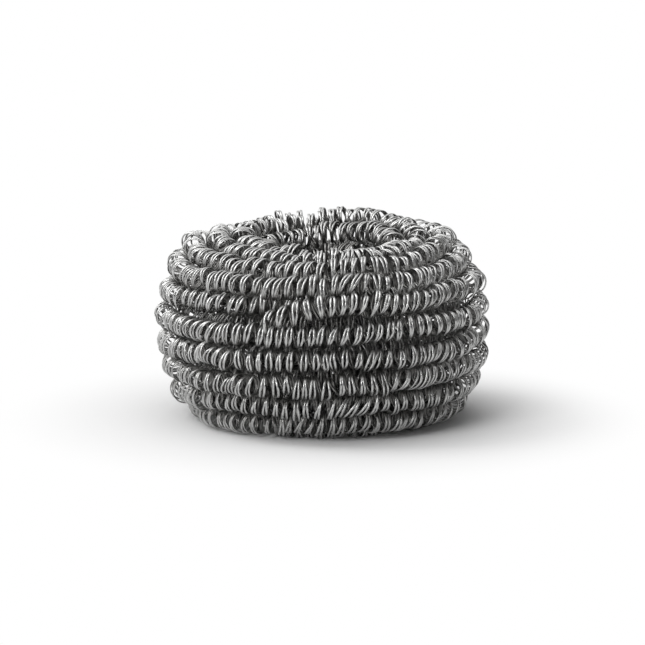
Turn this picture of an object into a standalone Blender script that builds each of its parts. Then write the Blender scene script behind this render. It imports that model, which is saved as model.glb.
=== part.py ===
"""Stainless steel scourer: one long strand of coiled wire, wound in layers into a ring.

The strand is modelled at its outer size, as a solid cord. Its windings follow a rounded outline
round the ring's section. Each layer goes once round the section, then the strand dives under its
own first turn and winds the next layer inside, and the last turns fill the middle as a column.

Metres, +Z up. The origin is on the surface that the ring lies on, under the middle of its hole.
"""

import math

import bpy
import numpy as np

# Driving sizes
OUTER_DIAMETER = 0.0857
HEIGHT = 0.0486
HOLE_DIAMETER = 0.0143
STRAND_DIAMETER = 0.0055
TURN_GAP = 0.00072
LAYER_GAP = 0.0009

# The ring's section: 2 is an ellipse, and more is squarer
SECTION_SQUARENESS = 2.33

# The end of the strand that shows, at the front left below the shoulder
END_AZIMUTH = math.radians(-114)
END_SECTION_ANGLE = math.radians(23.5)
END_LIFT = 0.0013
END_DROOP = 0.0010
END_LENGTH = 0.16

# How many turns the strand takes to dive from one layer to the next, and where an inner one starts
DIVE_TURNS = 0.28
INNER_SECTION_ANGLE = math.radians(43)

# Where hand winding left the ring uneven: its top swells at the back right, it parts under the
# strand's end, it is a little oval, and its turns wave a little
TOP_SWELL = 0.0019
TOP_SWELL_AZIMUTH = math.radians(65)
TOP_SWELL_WIDTH = math.radians(50)
PARTING = 0.0011
PARTING_AZIMUTH = math.radians(-75)
PARTING_WIDTH = math.radians(80)
PARTING_FADE_TURNS = 2.4
OVAL = 0.020
OVAL_AZIMUTH = math.radians(118)
WAVE = 0.00016
WAVES_A_TURN = 2.37

# How far the lowest turns are pressed flat by what the ring lies on
PRESSED = 0.00055

# The longest distance of a facet from the true curve of the strand, where it shows and inside
FACET_ERROR = 0.00033
HIDDEN_FACET_ERROR = 0.00066
STRAND_BEVEL_STEPS = 2
STRAND_SIDES = 4 + 2 * STRAND_BEVEL_STEPS

STEEL_COLOUR = (0.50, 0.50, 0.49, 1.0)
STEEL_ROUGHNESS = 0.32

SECTION_SAMPLES = 720


def clear_scene():
    """Removes whatever the scene holds."""
    for found in list(bpy.data.objects):
        bpy.data.objects.remove(found, do_unlink=True)


def smooth_step(value):
    """0 up to value 0, 1 from value 1, and a smooth rise between."""
    value = min(max(value, 0.0), 1.0)
    return value * value * (3 - 2 * value)


def signed_power(value, power):
    return math.copysign(abs(value) ** power, value)


class Layer:
    """One layer's line round the ring's section, and how many turns it takes."""

    def __init__(self, depth):
        inset = STRAND_DIAMETER / 2 + depth
        hole = HOLE_DIAMETER / 2
        outside = OUTER_DIAMETER / 2
        self.middle = (outside + hole) / 2
        self.half_width = (outside - hole) / 2 - inset
        self.half_height = HEIGHT / 2 - inset
        self.is_ring = self.half_width >= (STRAND_DIAMETER + TURN_GAP) / 2
        if self.is_ring:
            self.trace_ring(INNER_SECTION_ANGLE if depth else END_SECTION_ANGLE)
        else:
            self.trace_column()

    def trace_ring(self, first_angle):
        """A superellipse from its first angle, over the top, down the hole and back up the side."""
        power = 2 / SECTION_SQUARENESS
        angles = first_angle + np.linspace(0, 2 * math.pi, SECTION_SAMPLES + 1)
        self.radii = [self.middle + self.half_width * signed_power(math.cos(a), power) for a in angles]
        self.heights = [self.half_height * signed_power(math.sin(a), power) for a in angles]
        steps = np.hypot(np.diff(self.radii), np.diff(self.heights))
        self.run = np.concatenate([[0.0], np.cumsum(steps)])
        self.turns = int(self.run[-1] / (STRAND_DIAMETER + TURN_GAP))

    def trace_column(self):
        """A straight line down the middle of the section, for the last turns."""
        self.radii = [self.middle, self.middle]
        self.heights = [self.half_height, -self.half_height]
        self.run = np.array([0.0, 2 * self.half_height])
        self.turns = int(self.run[-1] / (STRAND_DIAMETER + TURN_GAP))

    def at(self, turn):
        """(radius, height above the ring's middle) after so many turns of this layer."""
        along = self.run[-1] * turn / max(self.turns, 1)
        return np.interp(along, self.run, self.radii), np.interp(along, self.run, self.heights)


def layers():
    """The layers from the outside in, for as long as there is room for one."""
    found = []
    depth = 0.0
    layer = Layer(depth)
    while layer.half_width >= 0 and layer.half_height > 0 and layer.turns > 0:
        found.append(layer)
        if not layer.is_ring:
            break
        depth += STRAND_DIAMETER + LAYER_GAP
        layer = Layer(depth)
    return found


def parted(azimuth, turn):
    """How far up a turn is pushed where the ring parts: most at the strand's end, less above it."""
    away = math.remainder(azimuth - PARTING_AZIMUTH, 2 * math.pi) / PARTING_WIDTH
    return PARTING * math.exp(-away**2) * max(1 - turn / PARTING_FADE_TURNS, 0.0)


def uneven(radius, azimuth, height, wound):
    """The wound place of a point of the even ring, after so many turns wound in all."""
    share_up = smooth_step(height / (HEIGHT / 2))
    away = math.remainder(azimuth - TOP_SWELL_AZIMUTH, 2 * math.pi) / TOP_SWELL_WIDTH
    height += TOP_SWELL * share_up * math.exp(-away**2)
    height += WAVE * math.sin(2 * math.pi * WAVES_A_TURN * wound)
    radius += WAVE * math.cos(2 * math.pi * WAVES_A_TURN * wound)
    radius *= 1 + OVAL * math.cos(2 * (azimuth - OVAL_AZIMUTH))
    return radius, height


def strand_points():
    """The strand's centreline: its azimuth turns steadily, and its place in the section follows."""
    wound = layers()
    points = []
    turns_before = 0
    for number, layer in enumerate(wound):
        following = wound[number + 1] if number + 1 < len(wound) else None
        facet_error = FACET_ERROR if number == 0 else HIDDEN_FACET_ERROR
        turn = 0.0
        while turn < layer.turns:
            azimuth = END_AZIMUTH + 2 * math.pi * turn
            radius, height = layer.at(turn)
            step = math.sqrt(8 * facet_error / radius) / (2 * math.pi)
            if following:
                dive = smooth_step((turn - layer.turns + DIVE_TURNS) / DIVE_TURNS)
                below = following.at(0.0)
                radius += dive * (below[0] - radius)
                height += dive * (below[1] - height)
            if number == 0:
                loose = (1 - min(turn / END_LENGTH, 1.0)) ** 2
                radius += END_LIFT * loose
                height += parted(azimuth, turn) - END_DROOP * loose
            radius, height = uneven(radius, azimuth, height, turns_before + turn)
            points.append((
                radius * math.cos(azimuth),
                radius * math.sin(azimuth),
                height + HEIGHT / 2 - PRESSED,
            ))
            turn += step
        turns_before += layer.turns
    return points


def steel_material():
    """Drawn stainless steel wire."""
    steel = bpy.data.materials.new("stainless_steel_wire")
    steel.use_nodes = True
    shader = steel.node_tree.nodes["Principled BSDF"]
    shader.inputs["Base Color"].default_value = STEEL_COLOUR
    shader.inputs["Metallic"].default_value = 1.0
    shader.inputs["Roughness"].default_value = STEEL_ROUGHNESS
    return steel


def strand_tube(points):
    """A round tube along the points, with closed ends and one of its facets underneath, as a mesh."""
    curve = bpy.data.curves.new("strand_centreline", "CURVE")
    curve.dimensions = "3D"
    curve.twist_mode = "Z_UP"
    curve.bevel_depth = STRAND_DIAMETER / 2
    curve.bevel_resolution = STRAND_BEVEL_STEPS
    curve.use_fill_caps = True
    spline = curve.splines.new("POLY")
    spline.points.add(len(points) - 1)
    for place, point in zip(spline.points, points):
        place.co = (*point, 1.0)
        place.tilt = math.pi / STRAND_SIDES
    guide = bpy.data.objects.new("strand_guide", curve)
    bpy.context.scene.collection.objects.link(guide)
    graph = bpy.context.evaluated_depsgraph_get()
    mesh = bpy.data.meshes.new_from_object(guide.evaluated_get(graph))
    bpy.data.objects.remove(guide, do_unlink=True)
    return mesh


def press_flat(mesh):
    """The strand is springy, so what it lies on presses the lowest turns flat."""
    for vertex in mesh.vertices:
        vertex.co.z = max(vertex.co.z, 0.0)


def wound_strand():
    """The scourer: the whole strand as one solid."""
    mesh = strand_tube(strand_points())
    press_flat(mesh)
    mesh.shade_smooth()
    mesh.materials.clear()
    mesh.materials.append(steel_material())
    strand = bpy.data.objects.new("wound_wire_strand", mesh)
    bpy.context.scene.collection.objects.link(strand)
    return strand


clear_scene()
wound_strand()
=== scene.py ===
"""Looks for a stainless steel scourer: the springy coil of doubled wire that it is wound from.

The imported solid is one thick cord. Here its path carries two flattened wires, which spiral round
it side by side with the slips, leans and loose loops of a real scourer. Metres, +Z up.
"""

import math
from typing import NamedTuple

import bpy
import numpy as np
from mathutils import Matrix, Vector


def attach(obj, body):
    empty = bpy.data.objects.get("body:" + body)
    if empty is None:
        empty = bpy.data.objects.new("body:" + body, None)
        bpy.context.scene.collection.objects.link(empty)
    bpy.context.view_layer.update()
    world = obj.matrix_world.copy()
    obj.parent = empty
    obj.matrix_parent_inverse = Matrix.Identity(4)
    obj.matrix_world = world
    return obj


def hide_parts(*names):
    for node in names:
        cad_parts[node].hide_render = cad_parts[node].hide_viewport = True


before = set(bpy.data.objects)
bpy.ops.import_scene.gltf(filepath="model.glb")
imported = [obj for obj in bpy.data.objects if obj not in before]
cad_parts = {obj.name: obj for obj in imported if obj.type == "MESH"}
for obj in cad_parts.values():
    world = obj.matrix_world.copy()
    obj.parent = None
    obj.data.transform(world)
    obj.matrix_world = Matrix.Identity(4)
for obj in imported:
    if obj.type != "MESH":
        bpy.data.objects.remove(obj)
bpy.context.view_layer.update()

NODE = "wound_wire_strand"
BODY = "root"

# The winding, as the solid has it
OUTER_DIAMETER = 0.0857
HEIGHT = 0.0486
HOLE_DIAMETER = 0.0143
STRAND_DIAMETER = 0.0055
TURN_GAP = 0.00072
LAYER_GAP = 0.0009
SECTION_SQUARENESS = 2.33
END_AZIMUTH = math.radians(-114)
END_SECTION_ANGLE = math.radians(23.5)
END_LIFT = 0.0013
END_DROOP = 0.0010
END_LENGTH = 0.16
DIVE_TURNS = 0.28
INNER_SECTION_ANGLE = math.radians(43)
TOP_SWELL = 0.0019
TOP_SWELL_AZIMUTH = math.radians(65)
TOP_SWELL_WIDTH = math.radians(50)
PARTING = 0.0011
PARTING_AZIMUTH = math.radians(-75)
PARTING_WIDTH = math.radians(80)
PARTING_FADE_TURNS = 2.4
OVAL = 0.020
OVAL_AZIMUTH = math.radians(118)
WAVE = 0.00016
WAVES_A_TURN = 2.37
PRESSED = 0.00055
SECTION_SAMPLES = 720
PATH_SAMPLES_A_TURN = 240

# Where the soft coil leaves the cord's path: it starts its first dive so many turns before the
# layer's end and ends it in the next layer, and the top of the near rim sags
COIL_DIVE_BEFORE = 0.16
COIL_DIVE_TURNS = 0.28
TOP_DIP = 0.0026
TOP_DIP_AZIMUTH = math.radians(-90)
TOP_DIP_WIDTH = math.radians(65)

# The flattened wire, and the coil that two of them make. By the bulge they lie wider apart on its
# outer and inner side, and closer together on its flanks
WIRE_WIDTH = 0.00066
WIRE_THICKNESS = 0.00030
PAIR_PITCH = 0.00265
PAIR_SPACING = 0.00070
PAIR_BULGE = 0.42
COIL_RADIUS = STRAND_DIAMETER / 2 - WIRE_THICKNESS / 2

# The wire behind the pair's middle and the one before it, as places in each pair of seeds
WIRE_BEHIND = 0
WIRE_BEFORE = 1


class Stray(NamedTuple):
    """A smooth random line along the strand, by the loops between its draws and their spread.

    Its seeds are one for each wire, and the same twice where both wires stray together.
    """

    every: float
    spread: float
    seeds: tuple


# How many values a line draws past the strand's last loop
SPARE_DRAWS = 4

# How a row drifts along the ring's surface and rises from it, and how its loops shift
ROW_DRIFT = Stray(7.0, 0.00034, (21, 21))
ROW_RISE = Stray(6.0, 0.00034, (22, 22))
SHIFT_OUT = Stray(0.8, 0.00030, (23, 23))
SHIFT_UP = Stray(0.8, 0.00030, (24, 24))

# How loops slip and lean along the strand, and swell by a share of the coil's radius
SLIP = Stray(2.3, 0.00036, (4, 4))
LEAN_OUT = Stray(2.1, 0.00052, (5, 5))
LEAN_UP = Stray(2.4, 0.00052, (6, 6))
SWELL = Stray(6.0, 0.045, (1, 1))
LOOP_SWELL = Stray(0.9, 0.050, (2, 2))

# A loop comes loose where this line is past the threshold, and widens by up to the gain
LOOSE = Stray(1.2, 1.0, (3, 3))
LOOSE_THRESHOLD = 1.4
LOOSE_GAIN = 0.25

# How each wire strays from its partner, and turns about itself, in radians
SPLAY = Stray(0.45, 0.00015, (13, 43))
WIRE_STRAY = Stray(0.31, 0.00007, (11, 41))
KINK = Stray(0.11, 0.00003, (12, 42))
TWIST = Stray(1.1, 0.24, (7, 8))

# How much more the rows drift and the loops shift over the top, by the sine of the direction from
# the section's middle
TOP_DISORDER = 0.5
TOP_DISORDER_FROM = 0.55
TOP_DISORDER_TO = 0.95

# The coil's free end starts after the cord's. Over so many loops it opens, stretches, hangs down
# and stands out, and one of its wires ends before the other
TRIMMED_LOOPS = 1.5
OPEN_END_LOOPS = 2.8
OPEN_END_GAIN = 0.04
OPEN_END_STRETCH = 0.0016
OPEN_END_DROP = 0.0026
OPEN_END_OUT = 0.0018
SHORT_WIRE_LOOPS = 0.55

# Where the floor presses the lowest loops flat
PRESS_HEIGHT = 0.0006
LOWEST_WIRE = 0.00020

# How finely the wires are drawn where they show and inside the ring, as steps a loop and corners
SHOWN_WIRE = (22, 6)
HIDDEN_WIRE = (14, 4)

# The pieces of the outer layer, each with its first turn, and how far the last one goes into the
# second layer, since its dive shows there
OUTER_PIECES = (
    ("shoulder_turns", 0.0),
    ("top_and_hole_turns", 3.0),
    ("underside_turns", 9.0),
    ("lower_side_turns", 13.0),
    ("upper_side_turns", 16.0),
)
SHOWN_DIVE_TURNS = 0.3

# How far a wire faces out of the ring where it is painted with shade, and where it is left
# bright. Shade is painted inside the hole too, and on most of the wire inside the ring, where the
# winding shades it.
UNSHADED_FROM = -0.35
UNSHADED_TO = 0.75
HOLE_SHADE_RADIUS = 0.0135
RIM_UNSHADED_RADIUS = 0.0195
SECOND_LAYER_UNSHADED = 0.2
MIDDLE_UNSHADED = 0.0

# The steel: its painted shade, its patches from dull to bright and from glossy to soft, and the
# rolling marks, which are so many in a metre of wire and in its girth
# Painted shade: a dark grey that stands in for the shade deep in the winding and in the hole
PAINTED_SHADE_COLOUR = (0.215, 0.212, 0.205, 1)
DULL_COLOUR = (0.38, 0.38, 0.375, 1)
BRIGHT_COLOUR = (0.63, 0.63, 0.622, 1)
DULL_TO = 0.30
BRIGHT_FROM = 0.72
PATCH_SCALE = 900
PATCH_DETAIL = 3
GLOSSY_TO = 0.3
SOFT_FROM = 0.7
GLOSSY_ROUGHNESS = 0.26
SOFT_ROUGHNESS = 0.42
MARK_SCALE = (600, 14, 1)
MARK_DETAIL = 2
MARK_STRENGTH = 0.35
MARK_DEPTH = 0.00004

# The camera, from the photo: its scale at the scourer's middle, and where that middle shows
IMAGE_PIXELS = 645
PIXELS_A_METRE = 3930
MIDDLE_PIXEL = (322.7, 321.5)
CAMERA_DISTANCE = 0.75
CAMERA_ELEVATION = math.radians(9.5)
SENSOR_WIDTH_MM = 36

# The lamps: name, place, size and power
LAMPS = (
    ("key", (-0.60, 0.05, 0.70), 0.40, 2.4),
    ("front", (-0.45, -0.80, 0.50), 0.45, 4.5),
    ("overhead", (-0.15, -0.10, 0.95), 1.1, 3.8),
)

# The studio: its white backdrop is behind, above and to the left, and its open room is in front
ROOM_COLOUR = (0.13, 0.13, 0.13, 1)
WHITE = (1.0, 1.0, 1.0, 1)
BACKDROP_SIDE = (-0.35, 0.85, 0.30)
BACKDROP_FROM = -0.40
BACKDROP_TO = 0.70
FLOOR_COLOUR = (0.95, 0.95, 0.95, 1)
FLOOR_ROUGHNESS = 0.9
FLOOR_REACH = 6.0
FLOOR_PLAIN_RADIUS = 0.030
FLOOR_FADE_RADIUS = 0.085

# The sockets of a mix node that mixes colours
MIX_SHARE = 0
MIX_FIRST = 6
MIX_SECOND = 7
MIX_RESULT = 2


def smooth_step(value):
    """0 up to value 0, 1 from value 1, and 3v^2 - 2v^3 between."""
    value = np.clip(value, 0.0, 1.0)
    return value * value * (3 - 2 * value)


def signed_power(value, power):
    """The power of the size of a value, with the value's sign."""
    return np.sign(value) * np.abs(value) ** power


def unit(vectors):
    """Each vector at length 1."""
    return vectors / np.linalg.norm(vectors, axis=-1, keepdims=True)


def run_along(steps):
    """The distance run at each point, from the steps between the points."""
    return np.concatenate([[0.0], np.cumsum(steps)])


def near(azimuth, middle, width):
    """1 at the middle azimuth, and exp(-x^2) away from it, with x in widths."""
    away = np.remainder(azimuth - middle + math.pi, 2 * math.pi) - math.pi
    return np.exp(-((away / width) ** 2))


class Layer:
    """One layer's line round the ring's section, and how many turns it takes.

    A ring layer is a superellipse: radius = middle + half width * c^p and height = half height * s^p,
    with c and s the cosine and sine of an angle and p = 2 / squareness. The last layer is a column.
    """

    def __init__(self, depth):
        inset = STRAND_DIAMETER / 2 + depth
        hole = HOLE_DIAMETER / 2
        outside = OUTER_DIAMETER / 2
        self.middle = (outside + hole) / 2
        self.half_width = (outside - hole) / 2 - inset
        self.half_height = HEIGHT / 2 - inset
        self.is_ring = self.half_width >= (STRAND_DIAMETER + TURN_GAP) / 2
        if self.is_ring:
            first_angle = INNER_SECTION_ANGLE if depth else END_SECTION_ANGLE
            angles = first_angle + np.linspace(0, 2 * math.pi, SECTION_SAMPLES + 1)
            power = 2 / SECTION_SQUARENESS
            self.radii = self.middle + self.half_width * signed_power(np.cos(angles), power)
            self.heights = self.half_height * signed_power(np.sin(angles), power)
        else:
            self.radii = np.array([self.middle, self.middle])
            self.heights = np.array([self.half_height, -self.half_height])
        self.run = run_along(np.hypot(np.diff(self.radii), np.diff(self.heights)))
        self.turns = int(self.run[-1] / (STRAND_DIAMETER + TURN_GAP))

    def at(self, turn):
        """Radius, and height above the ring's middle, after so many turns of this layer."""
        along = self.run[-1] * turn / self.turns
        return np.interp(along, self.run, self.radii), np.interp(along, self.run, self.heights)


def wound_layers():
    """The layers from the outside in, each a strand and a gap deeper than the last."""
    found = [Layer(0.0)]
    while found[-1].is_ring:
        found.append(Layer(len(found) * (STRAND_DIAMETER + LAYER_GAP)))
    return found


def blend(share, first, second):
    """Two (radius, height) places mixed: the first at share 0 and the second at share 1."""
    return tuple(a + share * (b - a) for a, b in zip(first, second))


def even_place(wound, number, turn):
    """Radius and height of a layer's turns, with the dives from and to the layers beside it."""
    layer = wound[number]
    place = layer.at(turn)
    if number + 1 < len(wound):
        before, whole = DIVE_TURNS, DIVE_TURNS
        if number == 0:
            before, whole = COIL_DIVE_BEFORE, COIL_DIVE_TURNS
        dive = smooth_step((turn - layer.turns + before) / whole)
        place = blend(dive, place, wound[number + 1].at(0.0))
    if number == 1:
        still_above = 1 - smooth_step((turn + COIL_DIVE_BEFORE) / COIL_DIVE_TURNS)
        place = blend(still_above, place, wound[0].at(turn))
    return place


def uneven(radius, azimuth, height, wound_turns):
    """The wound place, above the floor, of a place in the even ring.

    The top swells at one azimuth and dips at another, by how far up the place is. A small wave
    runs along the strand, and the ring is oval: radius times 1 + oval * cos 2(azimuth - its own).
    """
    share_up = smooth_step(height / (HEIGHT / 2))
    wave = 2 * math.pi * WAVES_A_TURN * wound_turns
    height = height + share_up * TOP_SWELL * near(azimuth, TOP_SWELL_AZIMUTH, TOP_SWELL_WIDTH)
    height = height - share_up**2 * TOP_DIP * near(azimuth, TOP_DIP_AZIMUTH, TOP_DIP_WIDTH)
    height = height + WAVE * np.sin(wave) + HEIGHT / 2 - PRESSED
    radius = radius + WAVE * np.cos(wave)
    radius = radius * (1 + OVAL * np.cos(2 * (azimuth - OVAL_AZIMUTH)))
    return radius, height


def strand_path(wound):
    """The strand's centreline as (turns wound, points).

    Azimuth grows evenly, and the place in the section follows each layer's line. The first turns
    are lifted and lowered at the free end and part under it, and then the ring is made uneven.
    """
    turn_parts = []
    point_parts = []
    turns_before = 0
    for number, layer in enumerate(wound):
        turn = np.arange(0, layer.turns * PATH_SAMPLES_A_TURN) / PATH_SAMPLES_A_TURN
        azimuth = END_AZIMUTH + 2 * math.pi * turn
        radius, height = even_place(wound, number, turn)
        if number == 0:
            loose = (1 - np.minimum(turn / END_LENGTH, 1.0)) ** 2
            fade = np.maximum(1 - turn / PARTING_FADE_TURNS, 0)
            parted = PARTING * near(azimuth, PARTING_AZIMUTH, PARTING_WIDTH) * fade
            radius = radius + END_LIFT * loose
            height = height + parted - END_DROOP * loose
        radius, height = uneven(radius, azimuth, height, turns_before + turn)
        turn_parts.append(turns_before + turn)
        point_parts.append(np.stack([radius * np.cos(azimuth), radius * np.sin(azimuth), height], -1))
        turns_before += layer.turns
    return np.concatenate(turn_parts), np.concatenate(point_parts)


class Strand:
    """The centreline with its arc length and, at each point, its own three directions.

    Forward is along the strand, out is away from the ring's axis square to it, and up is square
    to both. Away holds how far out and how far up it is from the middle of the ring's section to
    the strand, as the cosine and sine of that direction.
    """

    def __init__(self, wound):
        self.turn, self.point = strand_path(wound)
        self.run = run_along(np.linalg.norm(np.diff(self.point, axis=0), axis=1))
        self.loops = self.run[-1] / PAIR_PITCH
        self.forward = unit(np.gradient(self.point, self.run, axis=0))
        radial = self.point * np.array([1.0, 1.0, 0.0])
        along = np.sum(radial * self.forward, axis=1, keepdims=True)
        self.out = unit(radial - along * self.forward)
        self.up = np.cross(self.out, self.forward)
        section_radius = (OUTER_DIAMETER + HOLE_DIAMETER) / 4
        from_middle = np.linalg.norm(radial, axis=1) - section_radius
        above_middle = self.point[:, 2] - HEIGHT / 2
        least_reach = STRAND_DIAMETER / 4
        reach = np.maximum(np.hypot(from_middle, above_middle), least_reach)
        self.away = np.stack([from_middle / reach, above_middle / reach, np.zeros_like(reach)], -1)

    def loop_at(self, turn):
        """How many loops of the coil come before this turn of the strand."""
        return float(np.interp(turn, self.turn, self.run)) / PAIR_PITCH

    def read(self, field, run):
        """A field of three columns, read between its samples at these arc lengths."""
        return np.stack([np.interp(run, self.run, field[:, i]) for i in range(3)], -1)


layers = wound_layers()
strand = Strand(layers)


def wander(loop, stray, wire=WIRE_BEHIND):
    """A stray's line at these loop counts: smooth steps between the values that it draws."""
    draws = int(strand.loops / stray.every) + SPARE_DRAWS
    drawn = np.random.default_rng(stray.seeds[wire]).normal(0, stray.spread, draws)
    place = np.maximum(loop, 0) / stray.every
    first = np.floor(place).astype(int)
    share = smooth_step(place - first)
    return drawn[first] * (1 - share) + drawn[first + 1] * share


def press(height):
    """Heights under PRESS_HEIGHT close in on LOWEST_WIRE, as an exponential does."""
    room = PRESS_HEIGHT - LOWEST_WIRE
    sunk = LOWEST_WIRE + room * np.exp(np.minimum(height - PRESS_HEIGHT, 0) / room)
    return np.where(height < PRESS_HEIGHT, sunk, height)


def coil_radius(loop, wire, open_end):
    """How far a wire is from the strand's centreline: it swells, comes loose, strays and kinks."""
    swell = 1 + wander(loop, SWELL) + wander(loop, LOOP_SWELL)
    loose = LOOSE_GAIN * np.clip(wander(loop, LOOSE) - LOOSE_THRESHOLD, 0, 1)
    radius = COIL_RADIUS * (swell + loose + OPEN_END_GAIN * open_end)
    return radius + wander(loop, WIRE_STRAY, wire) + wander(loop, KINK, wire)


def place_along(loop, angle, open_end):
    """How far along the strand a loop is: slips move it, and leans do so by its angle."""
    along = loop * PAIR_PITCH + wander(loop, SLIP)
    leaning = wander(loop, LEAN_OUT) * np.cos(angle)
    leaning = leaning + wander(loop, LEAN_UP) * np.sin(angle)
    return along + leaning * (1 - open_end) - OPEN_END_STRETCH * open_end


def row_middle(loop, along, out, up, away):
    """The middle of the loops at these places: the strand's own, with the strays of its row.

    The row drifts along the ring's surface and rises from it, and its loops shift. Over the top
    the drifts and shifts are larger.
    """
    on_top = smooth_step((away[:, 1] - TOP_DISORDER_FROM) / (TOP_DISORDER_TO - TOP_DISORDER_FROM))
    disorder = (1 + TOP_DISORDER * on_top)[:, None]
    drift = wander(loop, ROW_DRIFT)[:, None]
    rise = wander(loop, ROW_RISE)[:, None]
    middle = strand.read(strand.point, along)
    middle = middle + disorder * drift * (away[:, :1] * up - away[:, 1:2] * out)
    middle = middle + rise * (away[:, :1] * out + away[:, 1:2] * up)
    middle = middle + disorder * wander(loop, SHIFT_OUT)[:, None] * out
    return middle + disorder * wander(loop, SHIFT_UP)[:, None] * up


def wire_line(loop, wire):
    """One wire's centreline at these loop counts, its outward direction, and how far it is left free
    of painted shade.

    It circles the strand once a loop: point = middle + radius * (cos a * out + sin a * up), with
    a = 2 pi * loop. The pair's spacing is its mean times 1 + bulge * cos 2f, with f the angle
    between that direction and the way out of the ring.
    """
    angle = 2 * math.pi * loop
    open_end = np.exp(-(((loop - TRIMMED_LOOPS) / OPEN_END_LOOPS) ** 2))
    radius = coil_radius(loop, wire, open_end)
    along = place_along(loop, angle, open_end)
    away = strand.read(strand.away, along)
    facing = np.cos(angle) * away[:, 0] + np.sin(angle) * away[:, 1]
    spacing = PAIR_SPACING * (1 + PAIR_BULGE * (2 * facing**2 - 1))
    side = 1 if wire == WIRE_BEFORE else -1
    along = along + side * spacing / 2 + wander(loop, SPLAY, wire)
    out = strand.read(strand.out, along)
    up = strand.read(strand.up, along)
    middle = row_middle(loop, along, out, up, away)
    outward = np.cos(angle)[:, None] * out + np.sin(angle)[:, None] * up
    line = middle + radius[:, None] * outward
    line = line + np.minimum(along, 0)[:, None] * strand.forward[0]
    line = line + open_end[:, None] * (OPEN_END_OUT * out - OPEN_END_DROP * up)
    line[:, 2] = press(line[:, 2])
    from_axis = np.hypot(middle[:, 0], middle[:, 1])
    # Painted shade: the wire darkens where it faces into the ring and inside the hole, where the
    # winding shades it
    unshaded = smooth_step((facing - UNSHADED_FROM) / (UNSHADED_TO - UNSHADED_FROM))
    out_of_hole = (from_axis - HOLE_SHADE_RADIUS) / (RIM_UNSHADED_RADIUS - HOLE_SHADE_RADIUS)
    return line, outward, unshaded * smooth_step(out_of_hole)


def flattened_wire(loop, wire, corners, first_point):
    """A flattened tube along a wire's line, as (points, quads, caps, uv, unshaded), the last being how
    far it is left free of painted shade.

    Its section is an ellipse of so many corners, wide along the strand and thin across it, and
    turned a little about the wire by a smooth random angle. Its faces point out of the wire, and
    its uv is (metres along, share round).
    """
    line, outward, unshaded = wire_line(loop, wire)
    ahead = unit(np.gradient(line, axis=0))
    across = unit(np.cross(ahead, outward))
    above = np.cross(across, ahead)
    twist = wander(loop, TWIST, wire)[:, None, None]
    round_angle = (np.arange(corners) + 0.5) * 2 * math.pi / corners
    wide = (WIRE_WIDTH / 2 * np.cos(round_angle))[None, :, None]
    thin = (WIRE_THICKNESS / 2 * np.sin(round_angle))[None, :, None]
    turned_wide = wide * np.cos(twist) - thin * np.sin(twist)
    turned_thin = wide * np.sin(twist) + thin * np.cos(twist)
    points = line[:, None, :] + turned_wide * across[:, None, :] + turned_thin * above[:, None, :]
    rings = len(loop)
    corner = np.arange(corners)
    ring_start = first_point + np.arange(rings - 1)[:, None] * corners
    here = ring_start + corner[None, :]
    beside = ring_start + (corner[None, :] + 1) % corners
    quads = np.stack([here, here + corners, beside + corners, beside], -1).reshape(-1, 4)
    caps = first_point + np.stack([corner, corner[::-1] + (rings - 1) * corners])
    run = run_along(np.linalg.norm(np.diff(line, axis=0), axis=1))
    uv = np.stack([np.repeat(run, corners), np.tile(corner / corners, rings)], -1)
    return points.reshape(-1, 3), quads, caps, uv, np.repeat(unshaded, corners)


def linked(name, data):
    """A new object in the scene."""
    made = bpy.data.objects.new(name, data)
    bpy.context.scene.collection.objects.link(made)
    return made


def wire_mesh(name, points, quads, caps, uvs, unshaded):
    """A mesh of quads and end caps, with the uv map wire and the point attribute unshaded, the share
    left free of painted shade.
    """
    corner_points = np.concatenate([quads.ravel(), caps.ravel()])
    quad_starts = np.arange(len(quads)) * 4
    cap_starts = len(quads) * 4 + np.arange(len(caps)) * caps.shape[1]
    mesh = bpy.data.meshes.new(name)
    mesh.vertices.add(len(points))
    mesh.vertices.foreach_set("co", points.ravel())
    mesh.loops.add(len(corner_points))
    mesh.loops.foreach_set("vertex_index", corner_points)
    mesh.polygons.add(len(quads) + len(caps))
    mesh.polygons.foreach_set("loop_start", np.concatenate([quad_starts, cap_starts]))
    layer = mesh.uv_layers.new(name="wire")
    layer.uv.foreach_set("vector", uvs[corner_points].ravel())
    attribute = mesh.attributes.new("unshaded", "FLOAT", "POINT")
    attribute.data.foreach_set("value", unshaded)
    mesh.update(calc_edges=True)
    mesh.shade_smooth()
    return mesh


def coil_piece(name, first_turn, last_turn, fineness, material, most_unshaded=1.0):
    """Both wires of the strand between two of its turns, as one mesh object."""
    steps_a_loop, corners = fineness
    first = max(strand.loop_at(first_turn), TRIMMED_LOOPS)
    last = strand.loop_at(last_turn)
    wires = []
    first_point = 0
    for wire in (WIRE_BEHIND, WIRE_BEFORE):
        is_short = wire == WIRE_BEFORE and first_turn == 0
        first_loop = first + (SHORT_WIRE_LOOPS if is_short else 0)
        loop = np.linspace(first_loop, last, int((last - first_loop) * steps_a_loop) + 1)
        wires.append(flattened_wire(loop, wire, corners, first_point))
        first_point += len(loop) * corners
    points, quads, caps, uvs, unshaded = [np.concatenate(columns) for columns in zip(*wires)]
    # The share left free of painted shade is capped for the deeper pieces
    mesh = wire_mesh(name, points, quads, caps, uvs, most_unshaded * unshaded)
    mesh.materials.append(material)
    piece = linked(name, mesh)
    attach(piece, BODY)
    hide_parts(NODE)


def shader_nodes(owner):
    """The nodes of a material or world, and what links them."""
    owner.use_nodes = True
    return owner.node_tree.nodes, owner.node_tree.links.new


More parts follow.
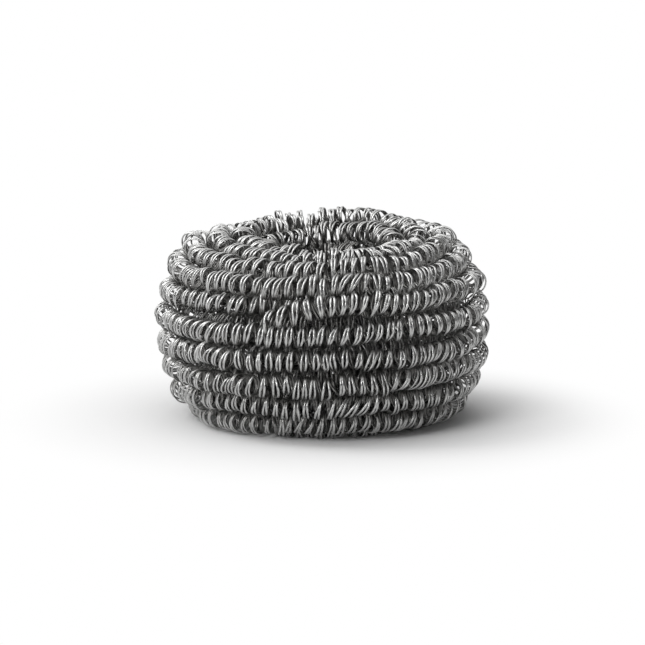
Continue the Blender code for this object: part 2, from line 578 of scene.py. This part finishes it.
def patchy_steel(nodes, link, patches, unshaded):
    """The steel's colour: dull to bright by the patches, mixed towards a painted shade where the wire
    is not unshaded.
    """
    tint = nodes.new("ShaderNodeValToRGB")
    dull, bright = tint.color_ramp.elements
    dull.position = DULL_TO
    dull.color = DULL_COLOUR
    bright.position = BRIGHT_FROM
    bright.color = BRIGHT_COLOUR
    link(patches, tint.inputs["Fac"])
    # Mixes in the painted shade colour where the wire is not left unshaded
    painted_shade = nodes.new("ShaderNodeMix")
    painted_shade.data_type = "RGBA"
    painted_shade.inputs[MIX_FIRST].default_value = PAINTED_SHADE_COLOUR
    link(unshaded, painted_shade.inputs[MIX_SHARE])
    link(tint.outputs["Color"], painted_shade.inputs[MIX_SECOND])
    return painted_shade.outputs[MIX_RESULT]


def rolling_marks(nodes, link, wire_uv):
    """The bump of fine marks along the wire: noise, stretched along it."""
    stretch = nodes.new("ShaderNodeMapping")
    stretch.inputs["Scale"].default_value = MARK_SCALE
    link(wire_uv, stretch.inputs["Vector"])
    marks = nodes.new("ShaderNodeTexNoise")
    marks.inputs["Scale"].default_value = 1
    marks.inputs["Detail"].default_value = MARK_DETAIL
    link(stretch.outputs["Vector"], marks.inputs["Vector"])
    bump = nodes.new("ShaderNodeBump")
    bump.inputs["Strength"].default_value = MARK_STRENGTH
    bump.inputs["Distance"].default_value = MARK_DEPTH
    link(marks.outputs["Fac"], bump.inputs["Height"])
    return bump.outputs["Normal"]


def wire_steel():
    """Rolled stainless wire: uneven brightness, a soft uneven gloss, rolling marks along it, and
    painted shade inside the ring and the hole.
    """
    steel = bpy.data.materials.new("rolled_stainless_wire")
    nodes, link = shader_nodes(steel)
    shader = nodes["Principled BSDF"]
    shader.inputs["Metallic"].default_value = 1.0
    place = nodes.new("ShaderNodeTexCoord")
    patches = nodes.new("ShaderNodeTexNoise")
    patches.inputs["Scale"].default_value = PATCH_SCALE
    patches.inputs["Detail"].default_value = PATCH_DETAIL
    link(place.outputs["Object"], patches.inputs["Vector"])
    # The share of the wire left free of painted shade
    unshaded = nodes.new("ShaderNodeAttribute")
    unshaded.attribute_name = "unshaded"
    colour = patchy_steel(nodes, link, patches.outputs["Fac"], unshaded.outputs["Fac"])
    link(colour, shader.inputs["Base Color"])
    gloss = nodes.new("ShaderNodeMapRange")
    gloss.inputs["From Min"].default_value = GLOSSY_TO
    gloss.inputs["From Max"].default_value = SOFT_FROM
    gloss.inputs["To Min"].default_value = GLOSSY_ROUGHNESS
    gloss.inputs["To Max"].default_value = SOFT_ROUGHNESS
    link(patches.outputs["Fac"], gloss.inputs["Value"])
    link(gloss.outputs["Result"], shader.inputs["Roughness"])
    link(rolling_marks(nodes, link, place.outputs["UV"]), shader.inputs["Normal"])
    return steel


def photo_camera():
    """The photo's long view: from -Y, a little above, with the scourer's middle on its pixel."""
    camera = bpy.data.cameras.new("photo_camera")
    camera.sensor_width = SENSOR_WIDTH_MM
    camera.lens = SENSOR_WIDTH_MM * PIXELS_A_METRE * CAMERA_DISTANCE / IMAGE_PIXELS
    across = (MIDDLE_PIXEL[0] - IMAGE_PIXELS / 2) / PIXELS_A_METRE
    down = (MIDDLE_PIXEL[1] - IMAGE_PIXELS / 2) / PIXELS_A_METRE
    backwards = Vector((0, -math.cos(CAMERA_ELEVATION), math.sin(CAMERA_ELEVATION)))
    upwards = Vector((0, math.sin(CAMERA_ELEVATION), math.cos(CAMERA_ELEVATION)))
    target = Vector((-across, 0, HEIGHT / 2)) + down * upwards
    holder = linked("photo_camera", camera)
    holder.location = target + CAMERA_DISTANCE * backwards
    holder.rotation_euler = backwards.to_track_quat("Z", "Y").to_euler()
    bpy.context.scene.camera = holder


def soft_lamp(name, place, size, power):
    """A square area lamp that faces the scourer's middle."""
    lamp = bpy.data.lights.new(name, "AREA")
    lamp.size = size
    lamp.energy = power
    holder = linked(name, lamp)
    holder.location = place
    towards = Vector(place) - Vector((0, 0, HEIGHT / 2))
    holder.rotation_euler = towards.to_track_quat("Z", "Y").to_euler()


def combined(nodes, link, operation, first, second):
    """Two values put through a math operation."""
    math_node = nodes.new("ShaderNodeMath")
    math_node.operation = operation
    link(first, math_node.inputs[0])
    link(second, math_node.inputs[1])
    return math_node.outputs[0]


def smooth_share(nodes, link, value, low, high):
    """0 up to a low value, 1 from a high one, and a smooth rise between."""
    share = nodes.new("ShaderNodeMapRange")
    share.interpolation_type = "SMOOTHSTEP"
    share.inputs["From Min"].default_value = low
    share.inputs["From Max"].default_value = high
    link(value, share.inputs["Value"])
    return share.outputs["Result"]


def shown_background(nodes, link, glossy_share):
    """1 for rays from the camera and through glass, and a share of 1 for those that metal sends on."""
    path = nodes.new("ShaderNodeLightPath")
    glossy = combined(nodes, link, "MULTIPLY", path.outputs["Is Glossy Ray"], glossy_share)
    either = combined(nodes, link, "MAXIMUM", path.outputs["Is Camera Ray"], glossy)
    return combined(nodes, link, "MAXIMUM", either, path.outputs["Is Transmission Ray"])


def studio_world():
    """A plain grey room light, and a white background where it is seen.

    Metal sees the white on the backdrop's side, and the grey room on the side across from it.
    """
    world = bpy.data.worlds.new("studio")
    bpy.context.scene.world = world
    nodes, link = shader_nodes(world)
    place = nodes.new("ShaderNodeTexCoord")
    facing = nodes.new("ShaderNodeVectorMath")
    facing.operation = "DOT_PRODUCT"
    facing.inputs[1].default_value = Vector(BACKDROP_SIDE).normalized()
    link(place.outputs["Generated"], facing.inputs[0])
    backdrop = smooth_share(nodes, link, facing.outputs["Value"], BACKDROP_FROM, BACKDROP_TO)
    mix = nodes.new("ShaderNodeMix")
    mix.data_type = "RGBA"
    mix.inputs[MIX_FIRST].default_value = ROOM_COLOUR
    mix.inputs[MIX_SECOND].default_value = WHITE
    link(shown_background(nodes, link, backdrop), mix.inputs[MIX_SHARE])
    link(mix.outputs[MIX_RESULT], nodes["Background"].inputs["Color"])


def pale_floor():
    """A wide white floor: plain near the scourer, where its shadow lies, and plain white far off."""
    mesh = bpy.data.meshes.new("floor")
    reach = FLOOR_REACH
    corners = [(-reach, -reach, 0), (reach, -reach, 0), (reach, reach, 0), (-reach, reach, 0)]
    mesh.from_pydata(corners, [], [(0, 1, 2, 3)])
    white = bpy.data.materials.new("floor_white")
    nodes, link = shader_nodes(white)
    shader = nodes["Principled BSDF"]
    shader.inputs["Base Color"].default_value = FLOOR_COLOUR
    shader.inputs["Roughness"].default_value = FLOOR_ROUGHNESS
    shader.inputs["Specular IOR Level"].default_value = 0.0
    place = nodes.new("ShaderNodeTexCoord")
    away = nodes.new("ShaderNodeVectorMath")
    away.operation = "LENGTH"
    link(place.outputs["Object"], away.inputs[0])
    fade = smooth_share(nodes, link, away.outputs["Value"], FLOOR_PLAIN_RADIUS, FLOOR_FADE_RADIUS)
    bright = nodes.new("ShaderNodeEmission")
    bright.inputs["Color"].default_value = WHITE
    floor_mix = nodes.new("ShaderNodeMixShader")
    share = combined(nodes, link, "MULTIPLY", shown_background(nodes, link, fade), fade)
    link(share, floor_mix.inputs[0])
    link(shader.outputs[0], floor_mix.inputs[1])
    link(bright.outputs[0], floor_mix.inputs[2])
    link(floor_mix.outputs[0], nodes["Material Output"].inputs["Surface"])
    mesh.materials.append(white)
    floor = linked("floor", mesh)


def whole_coil():
    """The strand's pieces: five of the outer layer, the second layer and the middle."""
    steel = wire_steel()
    second_layer = layers[0].turns + SHOWN_DIVE_TURNS
    middle = layers[0].turns + layers[1].turns
    starts = [start for name, start in OUTER_PIECES] + [second_layer]
    for (name, start), end in zip(OUTER_PIECES, starts[1:]):
        coil_piece(name, start, end, SHOWN_WIRE, steel)
    # The second layer and the middle carry more painted shade, the middle all of it
    coil_piece("second_layer_turns", second_layer, middle, HIDDEN_WIRE, steel, SECOND_LAYER_UNSHADED)
    coil_piece("middle_turns", middle, float(strand.turn[-1]), HIDDEN_WIRE, steel, MIDDLE_UNSHADED)


bpy.context.scene.view_settings.view_transform = "Standard"
photo_camera()
for lamp in LAMPS:
    soft_lamp(*lamp)
studio_world()
pale_floor()
whole_coil()
